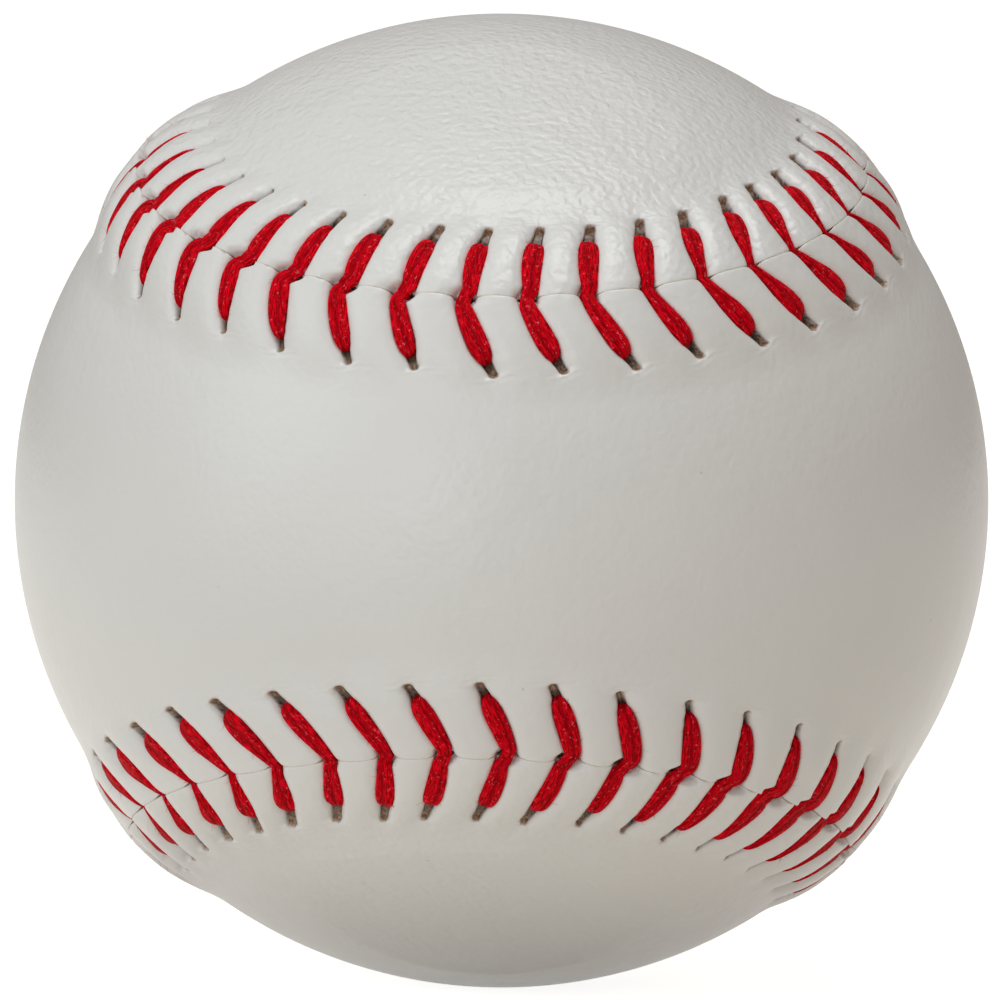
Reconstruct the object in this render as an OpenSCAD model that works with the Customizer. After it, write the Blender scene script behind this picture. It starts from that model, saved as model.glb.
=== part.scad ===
// Baseball: a cork and rubber pill, four windings of yarn, two leather cover panels and the
// red lacing that draws them together. The origin is the centre of the ball. The front panel's
// waist faces -Y and its lobes wrap round to -X and +X; the back panel is the same shape, with
// its waist at +Y and its lobes at +Z and -Z.

/* [Ball] */
// Diameter over the leather, clear of the raised seam
ball_d = 73; // [72.4:0.1:74.6]
// Thickness of the cover leather
leather_t = 1.25; // [1.15:0.05:1.35]

/* [Seam] */
// Half the width of a panel's waist, as an angle at the ball's centre
waist_angle = 26.7; // [25.5:0.1:27.5]
// Radius of a panel's round lobe, as an angle at the ball's centre
lobe_angle = 45.9; // [44.5:0.1:46.5]
// Width of the gap between the two cut edges
seam_gap = 0.2; // [0.1:0.05:0.3]
// Height of the seam's ridge over the leather
ridge_h = 0.9; // [0.75:0.05:1]
// Radius of the ridge's crown, across the seam
crown_r = 17; // [15:0.5:18]
// Radius of the hollow in which the ridge runs out
hollow_r = 18; // [15:1:24]

/* [Lacing] */
// Number of stitches round the seam
stitches = 86; // [82:2:90]
// Distance from the seam to the row of needle holes
hole_row = 4.85; // [4.6:0.05:5]
// Diameter of a needle hole
hole_d = 1.3; // [1.2:0.05:1.4]
// Diameter of the round notch, shared by both edges, where a stitch's two threads cross
notch_d = 2.25; // [2.2:0.05:2.35]
// Distance along the seam from a stitch's needle holes to its point
stitch_lean = 1.75; // [1.5:0.05:2]
// Share of a stitch's spacing by which the first one stands past the seam's start
first_stitch_share = 0.185; // [0:0.005:1]
// Width of a stitch's leg at its middle
leg_w = 1.5; // [1.2:0.05:1.6]
// Thickness of a stitch's leg at its middle
leg_t = 0.65; // [0.55:0.05:0.7]
// Depth to which the taut legs press into the leather
groove_depth = 0.5; // [0.4:0.05:0.55]
// Radius of the groove round a leg
groove_r = 1; // [0.9:0.05:1.1]
// Width of the thread where it dives between the panels
neck_w = 0.8; // [0.7:0.05:0.85]
// Thickness of the thread where it dives between the panels
neck_t = 0.5; // [0.4:0.05:0.5]
// Clearance of the thread from the leather
thread_clear = 0.05; // [0.03:0.01:0.08]

/* [Windings] */
// Thickness of the finishing winding, fine cotton
cotton_t = 1; // [0.95:0.05:1.2]
// Thickness of the third winding, three-ply grey wool
wool_3_t = 1.6; // [1.2:0.05:2]
// Thickness of the second winding, three-ply white wool. The first one, four-ply grey wool,
// fills what is left round the pill.
wool_2_t = 1.7; // [1.3:0.05:2.1]
// Depth to which the hidden lacing beds into the cotton
bed_depth = 0.7; // [0.65:0.05:0.75]
// Gap left between one layer and the next
layer_gap = 0.05; // [0.02:0.01:0.1]

/* [Pill] */
// Diameter of the cork core
cork_d = 20.6; // [19:0.1:22]
// Thickness of the pill's inner rubber, the two half shells round the cork
inner_rubber_t = 4.65; // [4:0.05:5.3]
// Thickness of the pill's outer rubber
outer_rubber_t = 2.4; // [2:0.1:3]
// Thickness of the rubber washer between the two inner half shells
washer_t = 1.2; // [0.8:0.1:1.6]

/* [Hidden] */
$fn = 96;

// Radii of the windings, from the leather inwards, and of the pill, from the cork outwards
ball_r = ball_d / 2;
cover_in_r = ball_r - leather_t;
cotton_r = cover_in_r - layer_gap;
wool_3_r = cotton_r - cotton_t - layer_gap;
wool_2_r = wool_3_r - wool_3_t - layer_gap;
wool_1_r = wool_2_r - wool_2_t - layer_gap;
cork_r = cork_d / 2;
shell_r = cork_r + layer_gap + inner_rubber_t;
pill_r = shell_r + layer_gap + outer_rubber_t;
// Overrun of a cut past what it cuts
overrun = 1;
// Where two blocks of one solid meet they lap by this length, and the second lies inside the
// first by a hair's step, so that no two of their faces coincide
lap = 0.3;
lap_step = 0.02;
// Reach of the blocks that part the two panels
reach = ball_r + 4 * ridge_h;

// Each lobe has its own axes: the third runs out through the lobe's middle and the first leans
// to the waist of the other panel. The last value is the way the lacing runs round it.
lobe_lean = waist_angle + lobe_angle;
lean_c = cos(lobe_lean);
lean_s = sin(lobe_lean);
LOBES = [
    [[0, -lean_s, -lean_c], [1, 0, 0], [0, -lean_c, lean_s], -1],
    [[lean_c, lean_s, 0], [0, 0, -1], [-lean_s, lean_c, 0], 1],
    [[0, -lean_s, lean_c], [-1, 0, 0], [0, -lean_c, -lean_s], -1],
    [[-lean_c, lean_s, 0], [0, 0, 1], [lean_s, lean_c, 0], 1]
];
BACK_LOBES = [0, 2];
FRONT_LOBES = [1, 3];

// The seam follows a lobe's circle for arc_turn each side of the waist and then runs straight
// over the ball to the next lobe's circle. The run's middle lies on the plane between the panels.
run_far = acos(lean_s / sqrt(2));
run_half = acos(cos(run_far) / cos(lobe_angle));
arc_turn = 180 - atan2(1, lean_c) - acos(tan(lobe_angle) / tan(run_far));
arc_length = 2 * arc_turn * sin(lobe_angle);
quarter_length = arc_length + 2 * run_half;
seam_length = len(LOBES) * quarter_length;
pitch = seam_length / stitches;
function stitch_at(i) = (i + first_stitch_share) * pitch;

// Point, direction of travel and direction to the front panel, on a ball of radius one. The
// distance u along the seam is an angle at the ball's centre.
function seam_frame(u) =
    let (
        around = (u + 2 * seam_length) % seam_length,
        k = floor(around / quarter_length),
        v = around - k * quarter_length,
        lobe = LOBES[k],
        turn = lobe[3] * (min(v, arc_length) / sin(lobe_angle) - arc_turn),
        out = cos(turn) * lobe[0] + sin(turn) * lobe[1],
        p = sin(lobe_angle) * out + cos(lobe_angle) * lobe[2],
        t = lobe[3] * (cos(turn) * lobe[1] - sin(turn) * lobe[0]),
        n = lobe[3] * (sin(lobe_angle) * lobe[2] - cos(lobe_angle) * out),
        run = max(v - arc_length, 0)
    )
    [cos(run) * p + sin(run) * t, cos(run) * t - sin(run) * p, n];

// Angle at the ball's centre of a length over the leather
function over_leather(length) = length / ball_r * 180 / PI;

// Axes at a place beside the seam: along it, away from it and out of the ball
function place_axes(u, side_length) =
    let (f = seam_frame(u), a = over_leather(side_length))
    [f[1], cos(a) * f[2] - sin(a) * f[0], cos(a) * f[0] + sin(a) * f[2]];

// Height of the ridge's crown over the ball, at a distance from the seam
crown_at = ball_r + ridge_h - crown_r;
function ridge_at(side_length) =
    let (a = over_leather(side_length))
    crown_at * cos(a) + sqrt(pow(crown_r, 2) - pow(crown_at * sin(a), 2)) - ball_r;

module with_axes(axes) {
    multmatrix([for (i = [0:2]) [axes[0][i], axes[1][i], axes[2][i], 0]])
        children();
}

// The ridge's section, in the plane across the seam, with the ball's centre at the origin and
// the seam on the first axis, drawn in on every side by an inset
hollow_dip = 0.03;
module ridge_section(inset) {
    far = ball_r + hollow_r - hollow_dip;
    toe = acos((pow(far, 2) + pow(crown_at, 2) - pow(crown_r + hollow_r, 2)) / (2 * far * crown_at));
    hollow = far * [cos(toe), sin(toe)];
    root = ball_r * cos(toe) - overrun + inset;
    side_in = inset / cos(toe);
    difference() {
        intersection() {
            translate([crown_at, 0])
                circle(r = crown_r - inset);
            polygon([
                [root, root * tan(toe) - side_in],
                [2 * ball_r, 2 * ball_r * tan(toe) - side_in],
                [2 * ball_r, side_in - 2 * ball_r * tan(toe)],
                [root, side_in - root * tan(toe)]
            ]);
        }
        for (side = [-1, 1])
            translate([hollow.x, side * hollow.y])
                circle(r = hollow_r + inset);
    }
}

// Sweeps a section along the whole seam. The section draws itself in by $inset.
module along_seam() {
    lap_turn = over_leather(lap);
    for (lobe = LOBES, $inset = 0)
        with_axes(lobe)
            rotate_extrude(angle = 2 * arc_turn, start = -arc_turn)
                rotate(90 - lobe_angle)
                    children();
    for (k = BACK_LOBES, side = [-1, 1], $inset = lap_step)
        with_axes(LOBES[k])
            rotate([0, 0, side * arc_turn])
                rotate([0, lobe_angle - 90, 0])
                    rotate_extrude(
                        angle = 2 * (run_half + lap_turn),
                        start = side * run_half - run_half - lap_turn
                    )
                        children();
}

// A ball whose own poles and meridian lie under the other panel, clear of this one's cuts
module turned_ball(radius, side) {
    with_axes(side > 0 ? [[0, 1, 0], [-1, 0, 0], [0, 0, 1]] : [[0, -1, 0], [0, 0, -1], [1, 0, 0]])
        sphere(r = radius);
}

// The leather's space, from the windings to the raised surface
module leather_space(side) {
    difference() {
        union() {
            turned_ball(ball_r, side);
            along_seam()
                ridge_section($inset);
        }
        turned_ball(cover_in_r, side);
    }
}

// A lobe's round end and all that lies on the other side of its axis, drawn in by a margin from
// the middle of the seam
block = 2 * reach;
module lobe_end(lobe, margin) {
    low = reach / 4;
    draw_in = margin / cos(lobe_angle);
    with_axes(lobe) {
        translate([0, 0, low])
            cylinder(
                h = block - low,
                r1 = low * tan(lobe_angle) - draw_in,
                r2 = block * tan(lobe_angle) - draw_in
            );
        translate([-block, -block, -block])
            cube([block, 2 * block, 2 * block]);
    }
}

// The half of space on a lobe's side of one of its straight runs
module run_side(lobe, side, margin) {
    with_axes(lobe)
        rotate([0, 0, side * arc_turn])
            rotate([0, lobe_angle - 90, 0])
                translate([-block, -block, margin])
                    cube([2 * block, 2 * block, block]);
}

// A whole lobe, with the straight runs for its sides
module lobe_space(lobe, margin) {
    intersection() {
        lobe_end(lobe, margin);
        run_side(lobe, 1, margin - lap_step);
        run_side(lobe, -1, margin - lap_step);
    }
}

// Round cut square through the leather
module leather_cut(diameter) {
    translate([0, 0, cover_in_r - overrun])
        cylinder(d = diameter, h = leather_t + ridge_h + 2 * overrun);
}

// The holes stand a little further out than the thread, which pulls on their inner side
hole_out = (hole_d - neck_t) / 2 - 3 * thread_clear;
module needle_holes(side) {
    for (i = [0:stitches - 1])
        with_axes(place_axes(
            stitch_at(i) - over_leather(stitch_lean),
            side * (hole_row + hole_out)
        ))
            leather_cut(hole_d);
}

module crossing_notches() {
    for (i = [0:stitches - 1])
        with_axes(place_axes(stitch_at(i), 0))
            leather_cut(notch_d);
}

// A leg's groove is straight, open at the seam, and ends in the leg's needle hole
module leg_grooves(side) {
    past = (hole_row - edge_row) / (leg_row(1) - edge_row);
    for (i = [0:stitches - 1])
        let (
            low = groove_point(i, side, 0),
            run = groove_point(i, side, 1) - low,
            z = unit(run),
            x = unit(cross(z, low))
        )
        translate(low + groove_r * cross(x, z))
            with_axes([x, cross(z, x), z])
                translate([0, 0, -norm(run)])
                    cylinder(r = groove_r, h = (1 + past) * norm(run));
}

module cover_panel(own, others, side) {
    difference() {
        intersection() {
            leather_space(side);
            for (k = own)
                lobe_end(LOBES[k], seam_gap / 2);
        }
        for (k = others)
            lobe_space(LOBES[k], -seam_gap / 2);
        needle_holes(side);
        crossing_notches();
        leg_grooves(side);
    }
}

// One needle's thread. From each hole it leans over the leather to the crossing, dives between
// the panels and runs under the other panel to the next hole. Each ring is a centre, the
// thread's width and its thickness there.
sides = 6;
cross_gap = neck_w + 2 * thread_clear;
// How much of its lean and size a leg has at its outer end, and where that end is
shoulder_share = 0.87;
// Where the thread goes over and under the edges of the notch
edge_share = 0.69;
edge_row = edge_share * notch_d / 2;
hidden = -leather_t - thread_clear - neck_t / 2;

// Places on a leg, from 0 at the seam to 1 at its outer end, and the groove's floor there
function leg_lean(side, along) =
    (1 - along) * side * cross_gap / 2 - along * shoulder_share * stitch_lean;
function leg_row(along) = (1 - along) * edge_row + along * shoulder_share * hole_row;
function groove_point(i, side, along) =
    let (
        row = leg_row(along),
        axes = place_axes(stitch_at(i) + over_leather(leg_lean(side, along)), side * row)
    )
    (ball_r + ridge_at(row) - groove_depth) * axes[2];
// Height of the thread's middle over the groove's floor
function seat(width, thickness) =
    thread_clear + max(
        groove_r - sqrt(pow(groove_r, 2) - pow(width / 2, 2)),
        groove_r - sqrt(pow(groove_r, 2) - pow(width / 4, 2)) + sin(60) * thickness / 2
    );
function leg_ring(i, side, along, width, thickness) =
    let (
        low = groove_point(i, side, 0),
        far = groove_point(i, side, 1),
        floor_point = low + along * (far - low)
    )
    [
        floor_point + seat(width, thickness) * unit(floor_point),
        seam_frame(stitch_at(i))[1], width, thickness
    ];
function thread_ring(u, lean, side_length, height) =
    let (axes = place_axes(u + over_leather(lean), side_length))
    [(ball_r + height) * axes[2], seam_frame(u)[1], neck_w, neck_t];
function thread_stitch(i, side) =
    let (
        u = stitch_at(i),
        w = shoulder_share * leg_w,
        t = shoulder_share * leg_t
    )
    [
        thread_ring(u, -stitch_lean, side * hole_row, hidden),
        thread_ring(u, -stitch_lean, side * hole_row, ridge_at(hole_row) - groove_depth / 4),
        leg_ring(i, side, 1, w, t),
        leg_ring(i, side, 1 / 2, leg_w, leg_t),
        leg_ring(i, side, 0, neck_w, neck_t),
        thread_ring(u, side * cross_gap / 2, -side * edge_row, hidden)
    ];
function unit(v) = v / norm(v);
function thread_rings(first) = [
    for (i = [0:stitches - 1])
        for (ring = thread_stitch(i, i % 2 == 0 ? first : -first))
            ring
];
module tube(rings) {
    last = len(rings) - 1;
    points = [
        for (j = [0:last])
            let (
                c = rings[j][0],
                back = j > 0 ? unit(c - rings[j - 1][0]) : [0, 0, 0],
                ahead = j < last ? unit(rings[j + 1][0] - c) : [0, 0, 0],
                t = unit(back + ahead),
                w = unit(rings[j][1] - (rings[j][1] * t) * t),
                h = cross(t, w)
            )
            for (k = [0:sides - 1])
                c + rings[j][2] / 2 * cos(360 * k / sides) * w + rings[j][3] / 2 * sin(360 * k / sides) * h
    ];
    skin = [
        for (j = [0:last - 1], k = [0:sides - 1])
            let (
                a = j * sides + k,
                b = j * sides + (k + 1) % sides
            )
            each [[a, a + sides, b], [b, a + sides, b + sides]]
    ];
    start_cap = [for (k = [1:sides - 2]) [0, k, k + 1]];
    end_cap = [for (k = [1:sides - 2]) [last * sides, last * sides + k + 1, last * sides + k]];
    polyhedron(points = points, faces = concat(start_cap, skin, end_cap), convexity = 10);
}

// A shell of an even layer between two radii
module layer(outer_r, inner_r) {
    difference() {
        sphere(r = outer_r);
        sphere(r = inner_r);
    }
}

module inner_shell_half() {
    intersection() {
        layer(shell_r, cork_r + layer_gap);
        translate([-shell_r, -shell_r, washer_t / 2 + layer_gap])
            cube(2 * shell_r);
    }
}

module cork_core() {
    color("peru")
        sphere(r = cork_r);
}

module inner_rubber_upper() {
    color("dimgray")
        inner_shell_half();
}

module inner_rubber_lower() {
    color("dimgray")
        mirror([0, 0, 1])
            inner_shell_half();
}

module rubber_washer() {
    color("firebrick")
        intersection() {
            layer(shell_r, cork_r + layer_gap);
            translate([0, 0, -washer_t / 2])
                cylinder(r = shell_r, h = washer_t);
        }
}

module outer_rubber() {
    color("indianred")
        layer(pill_r, shell_r + layer_gap);
}

module wool_winding_1() {
    color("gray")
        layer(wool_1_r, pill_r + layer_gap);
}

module wool_winding_2() {
    color("gainsboro")
        layer(wool_2_r, wool_1_r + layer_gap);
}

module wool_winding_3() {
    color("darkgray")
        layer(wool_3_r, wool_2_r + layer_gap);
}

// The cotton carries a shallow bed along the seam for the hidden stretches of the lacing. Its
// floor is a little flatter than the ball.
bed_half = hole_row + hole_d;
bed_ease = 10;
module bed_section(inset) {
    h = bed_half - inset;
    intersection() {
        translate([-bed_ease, 0])
            difference() {
                circle(r = bed_ease + cotton_r + overrun - inset);
                circle(r = bed_ease + cotton_r - bed_depth + inset);
            }
        translate([cotton_r - 2 * overrun, -h])
            square([4 * overrun, 2 * h]);
    }
}
module cotton_winding() {
    color("oldlace")
        difference() {
            layer(cotton_r, cotton_r - cotton_t);
            along_seam()
                bed_section($inset);
        }
}

module cover_panel_front() {
    color("white")
        cover_panel(FRONT_LOBES, BACK_LOBES, 1);
}

module cover_panel_back() {
    color("whitesmoke")
        cover_panel(BACK_LOBES, FRONT_LOBES, -1);
}

module lacing_thread_1() {
    color("crimson")
        tube(thread_rings(1));
}

module lacing_thread_2() {
    color("firebrick")
        tube(thread_rings(-1));
}

cork_core();
inner_rubber_upper();
inner_rubber_lower();
rubber_washer();
outer_rubber();
wool_winding_1();
wool_winding_2();
wool_winding_3();
cotton_winding();
cover_panel_front();
cover_panel_back();
lacing_thread_1();
lacing_thread_2();
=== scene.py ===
"""A baseball's looks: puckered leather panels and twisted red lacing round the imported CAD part."""

import math

import bpy
import numpy as np
from mathutils import Matrix, Vector
from mathutils.geometry import delaunay_2d_cdt


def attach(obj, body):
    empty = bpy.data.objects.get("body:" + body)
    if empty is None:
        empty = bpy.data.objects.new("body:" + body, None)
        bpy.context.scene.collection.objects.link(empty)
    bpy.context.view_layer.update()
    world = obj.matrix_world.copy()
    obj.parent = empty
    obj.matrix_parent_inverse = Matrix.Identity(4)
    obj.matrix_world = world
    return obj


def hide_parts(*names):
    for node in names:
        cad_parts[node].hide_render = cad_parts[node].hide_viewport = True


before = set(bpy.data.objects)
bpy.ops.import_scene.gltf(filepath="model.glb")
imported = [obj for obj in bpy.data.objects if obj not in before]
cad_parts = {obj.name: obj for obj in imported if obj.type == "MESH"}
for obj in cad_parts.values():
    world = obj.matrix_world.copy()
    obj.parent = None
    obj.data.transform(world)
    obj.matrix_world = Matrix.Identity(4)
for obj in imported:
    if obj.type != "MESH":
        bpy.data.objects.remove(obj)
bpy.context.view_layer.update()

MM = 0.001
SEED = 7

# The ball's driving sizes, as in the part's source: millimetres and degrees

BALL_R = 36.5
LEATHER_T = 1.25
WAIST = math.radians(26.7)
LOBE = math.radians(45.9)
STITCHES = 86
FIRST_STITCH_SHARE = 0.185
HOLE_ROW = 4.85
RIDGE_H = 0.9
CROWN_R = 17.0
HOLLOW_R = 18.0
HOLLOW_DIP = 0.03

FRONT, BACK = 1, -1

# The seam: a closed curve round the ball

LEAN = WAIST + LOBE
LEAN_C, LEAN_S = math.cos(LEAN), math.sin(LEAN)
# Each lobe's axes, the third through the lobe's middle, and the way the lacing runs round it
LOBE_AXES = np.array([
    [[0, -LEAN_S, -LEAN_C], [1, 0, 0], [0, -LEAN_C, LEAN_S]],
    [[LEAN_C, LEAN_S, 0], [0, 0, -1], [-LEAN_S, LEAN_C, 0]],
    [[0, -LEAN_S, LEAN_C], [-1, 0, 0], [0, -LEAN_C, -LEAN_S]],
    [[-LEAN_C, LEAN_S, 0], [0, 0, 1], [LEAN_S, LEAN_C, 0]],
])
LOBE_WAYS = np.array([-1, 1, -1, 1])
RUN_FAR = math.acos(LEAN_S / math.sqrt(2))
RUN_HALF = math.acos(math.cos(RUN_FAR) / math.cos(LOBE))
ARC_TURN = math.pi - math.atan2(1, LEAN_C) - math.acos(math.tan(LOBE) / math.tan(RUN_FAR))
ARC_LEN = 2 * ARC_TURN * math.sin(LOBE)
QUARTER = ARC_LEN + 2 * RUN_HALF
SEAM_LEN = len(LOBE_AXES) * QUARTER
PITCH = SEAM_LEN / STITCHES
PITCH_MM = PITCH * BALL_R


def seam_frame(u):
    """Point, direction of travel and direction to the front panel at angles u along the seam."""
    u = np.mod(u, SEAM_LEN)
    k = np.minimum((u // QUARTER).astype(int), len(LOBE_AXES) - 1)
    v = u - k * QUARTER
    way = LOBE_WAYS[k][..., None]
    turn = way * (np.minimum(v, ARC_LEN)[..., None] / math.sin(LOBE) - ARC_TURN)
    run = np.maximum(v - ARC_LEN, 0)[..., None]
    x, y, z = (LOBE_AXES[k, i] for i in range(3))
    out = np.cos(turn) * x + np.sin(turn) * y
    p = math.sin(LOBE) * out + math.cos(LOBE) * z
    t = way * (np.cos(turn) * y - np.sin(turn) * x)
    n = way * (math.sin(LOBE) * z - math.cos(LOBE) * out)
    return np.cos(run) * p + np.sin(run) * t, np.cos(run) * t - np.sin(run) * p, n


def smooth(x, low, high):
    """0 below low, 1 above high, and a smooth step between them."""
    s = np.clip((x - low) / (high - low), 0, 1)
    return s * s * (3 - 2 * s)


def profile(x, places, values):
    """Reads values at places, with a smooth step from each to the next."""
    values = np.asarray(values, float)
    part = np.interp(x, places, np.arange(len(places)))
    low = np.minimum(part.astype(int), len(places) - 2)
    return values[low] + (values[low + 1] - values[low]) * smooth(part - low, 0, 1)


def steps(x, start, changes):
    """A value that starts at start and changes by smooth steps: (change, from x, to x)."""
    for change, low, high in changes:
        start = start + change * smooth(x, low, high)
    return start


# How softly the ridge's foot runs out into the leather
RIDGE_FOOT = 0.02


def ridge_at(row):
    """Height of the seam's ridge over the ball, at a distance from the seam."""
    a = np.abs(row) / BALL_R
    crown_at = BALL_R + RIDGE_H - CROWN_R
    far = BALL_R + HOLLOW_R - HOLLOW_DIP
    toe = math.acos(
        (far ** 2 + crown_at ** 2 - (CROWN_R + HOLLOW_R) ** 2) / (2 * far * crown_at)
    )
    share = CROWN_R / (CROWN_R + HOLLOW_R)
    meet = math.atan2(
        share * far * math.sin(toe), crown_at + share * (far * math.cos(toe) - crown_at)
    )
    crown = crown_at * np.cos(a) + np.sqrt(CROWN_R ** 2 - (crown_at * np.sin(a)) ** 2)
    from_toe = np.clip(toe - a, 0, toe)
    hollow = far * np.cos(from_toe) - np.sqrt(HOLLOW_R ** 2 - (far * np.sin(from_toe)) ** 2)
    height = np.where(a < meet, crown, hollow) - BALL_R
    return (height + np.sqrt(height ** 2 + RIDGE_FOOT ** 2)) / 2


# Where the stitches lie

# Handwork isn't even. Each wave is a mean and its swings once and twice round the seam, counted
# from about the middle of the seam's stretch over the waist that faces the camera. Lengths are in
# millimetres.
WAVE_START = math.radians(36)
# A jitter is cut off at this many times its spread
JITTER_REACH = 2

rng = np.random.default_rng(SEED)
STITCH_U = (np.arange(STITCHES) + FIRST_STITCH_SHARE) * PITCH


def wave(u, mean, once=(0.0, 0.0), twice=0.0):
    """A value that swings slowly round the seam."""
    turn = 2 * math.pi * u / SEAM_LEN - WAVE_START
    return mean + once[0] * np.cos(turn) + once[1] * np.sin(turn) + twice * np.sin(2 * turn)


def jitter(spread):
    """A small random difference for every stitch."""
    return np.clip(rng.normal(0, spread, STITCHES), -JITTER_REACH * spread, JITTER_REACH * spread)


# How far the stitches run ahead, and how far a stitch's two legs start apart at the seam
SLIDE = wave(STITCH_U, 0.0, (0.23, 0.15), -0.85) + jitter(0.06)
CROSS_STEP = wave(STITCH_U, 0.32, twice=0.5)
# How far each side's needle holes lie back along the seam, and how far they stand off
LEANS = {
    FRONT: wave(STITCH_U, 1.84, twice=-1.5) + jitter(0.12),
    BACK: wave(STITCH_U, 1.5, (-0.33, -0.1), -0.17) + jitter(0.25),
}
STAND_OFF = {FRONT: jitter(0.12), BACK: wave(STITCH_U, 0.0, (0.0, -0.7), 0.4) + jitter(0.12)}
# How deep and how wide each leg lies, and how far a side's legs bow
SINK_JITTER = {side: jitter(0.025) for side in (FRONT, BACK)}
WIDTH_JITTER = {side: 1 + jitter(0.05) for side in (FRONT, BACK)}
BOW = {FRONT: 0.3, BACK: 0.9}

# How far the seam wanders to either side, and how its height changes, once round the seam
SEAM_WANDER = (0.05, 0.39)
RIDGE_SWING = (0.2, 0.14)
# The leather follows the seam's wander up to here, and no more at the outer row, where the
# puckers beside the seam have run out
WANDER_ROW = 3.0
OUTER_ROW = 9.6
# The needle holes stand off more or less, and the seam doesn't
STAND_OFF_ROWS = (2.0, 4.5)


def between(values, sigma):
    """Reads a value per stitch at fractional stitch numbers, round the closed seam."""
    low = np.floor(sigma).astype(int)
    part = sigma - low
    return (1 - part) * values[low % STITCHES] + part * values[(low + 1) % STITCHES]


def leg_line(side, sigma, row):
    """How far along the seam the leg's middle lies from its stitch's place, in millimetres."""
    share = row / HOLE_ROW
    line = (1 - share) * side * between(CROSS_STEP, sigma) - share * between(LEANS[side], sigma)
    return between(SLIDE, sigma) + line + BOW[side] * share * (1 - share)


def place(side, sigma, row, height, across=0.0):
    """The point at stitch number sigma, beside the seam by row, over the ball by height."""
    u = (sigma + FIRST_STITCH_SHARE) * PITCH
    p, t, n = seam_frame(u + (leg_line(side, sigma, row) + across) / BALL_R)
    wander = wave(u, 0.0, SEAM_WANDER) * (1 - smooth(row, WANDER_ROW, OUTER_ROW))
    a = ((side * row + wander) / BALL_R)[..., None]
    return (BALL_R + height)[..., None] * (np.cos(a) * p + np.sin(a) * n)


def rise(u):
    """How high the seam stands, as a share of its mean height."""
    return wave(u, 1.0, RIDGE_SWING)


def pull(u):
    """Where the thread is pulled tight: 1 towards the needle holes, -1 towards the seam."""
    return wave(u, 0.0, twice=1.0)


# From where to where on its way to 1 or -1 the pull tells
PULL_TELLS = (0.1, 1.0)
# Change of a leg's width at the seam, and its steps (change, from row, to row) on the way to the
# needle hole: where the thread is pulled towards the holes, and where towards the seam
PULLED_TO_HOLE = (0.5, [(-0.5, 1.0, 2.8), (-0.62, 2.2, 4.6)])
PULLED_TO_SEAM = (-0.6, [(0.6, 0.3, 2.6), (0.35, 1.5, 3.2), (0.2, 4.2, 4.9)])
# Where it is pulled hardest towards the holes, a leg is this much narrower still
SHUT = 0.25
SHUT_PULL = (0.8, 1.0)
SHUT_ROWS = (1.2, 3.0)


def closing(u, row):
    """How wide a leg lies, as a share of an evenly pulled one's width."""
    at_hole, at_seam = smooth(pull(u), *PULL_TELLS), smooth(-pull(u), *PULL_TELLS)
    by_hole, by_seam = steps(row, *PULLED_TO_HOLE), steps(row, *PULLED_TO_SEAM)
    shut = SHUT * smooth(pull(u), *SHUT_PULL) * smooth(row, *SHUT_ROWS)
    return 1 + at_hole * by_hole + at_seam * by_seam - shut


# The leather's surface

# Rows are distances from the seam in millimetres, and tips and tails are counted from a needle
# hole's end. The groove under a leg, with the needle hole at its end: its half width and depth
WIDE_ROWS = [0, 0.6, 1.2, 2.4, 3.6, 4.2, 4.6, 5.2]
WIDE_AT = [0.42, 0.5, 0.56, 0.64, 0.66, 0.52, 0.4, 0.33]
TIP_ROWS = [-0.24, -0.04, 0.06]
TIP_WIDE = [0.33, 0.25, 0]
GROOVE = 0.7
DEEP_ROWS = [0, 0.5, 3.9, 4.4]
DEEP_AT = [0.8, GROOVE, GROOVE, 0.95]
TAIL_ROWS = [-0.35, 0.1, 0.5, 1.5]
TAIL_AT = [0.8, 0.14, 0.05, 0]
# Where the holes, coloured as fibre with painted shade, start and end, how softly, how wide they are
# drawn, and from which row on
HOLE_START = 4.1
HOLE_START_SOFT = 0.2
HOLE_END = {FRONT: 5.75, BACK: 6.05}
HOLE_END_SOFT = (-0.08, 0.1)
HOLE_RIM = 0.09
HOLE_WIDE = {FRONT: 0.85, BACK: 1.15}
HOLE_WIDE_ROWS = (4.2, 4.7)
# How far to either side a hole's end is turned square to its leg
SQUARE_REACH = 0.8
# Where the painted shade in a hole fades and its fibres turn lighter
HOLE_SHADE_FADE_ROW = 4.8
# Between the legs the leather swells like a pillow, more so where the thread is pulled tight
PUFF = {FRONT: 0.18, BACK: 0.24}
PUFF_BY_PULL = 0.06
PUFF_ROWS = (2.5, 7.5)
PILLOW_POWER = 2.6
# Round a hole's end the pillow turns into a soft slope
SLOPE_AT_END = (-0.3, 0.4)
# At the seam both legs press the leather down, and the stretch between them
STRETCH_ROWS = (0.1, 0.9)
# The cut edges: half the gap between them, and the rounded lip's radius and drop
EDGE_GAP = 0.006
LIP_R = 0.24
LIP_DROP = 0.08
# How far a finger's end draws back at its corners, along how much of the seam, and how square
CORNER_BACK = 0.4
CORNER_LONG = 1.2
CORNER_SQUARE = 0.98
# The front panel's edge rides a little over the back panel's
FRONT_OVER = 0.06
FRONT_OVER_ROW = 1.5
# Depths of the mesh's rows down the cut edge, and how much of the cut's colour the lip takes on
CUT_DOWN = (0.3, 0.6, LEATHER_T)
LIP_CUT_ROWS = 3
LIP_CUT_SHARE = 0.5


def from_thread(side, sigma, row):
    """Distance along the seam from a leg, and at the seam from the stretch between both legs."""
    x = (sigma - np.round(sigma)) * PITCH_MM
    other = -2 * side * between(CROSS_STEP, sigma)
    stretch = np.maximum(np.maximum(np.minimum(other, 0) - x, x - np.maximum(other, 0)), 0)
    away = smooth(row, *STRETCH_ROWS)
    return away * np.abs(x) + (1 - away) * stretch


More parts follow.
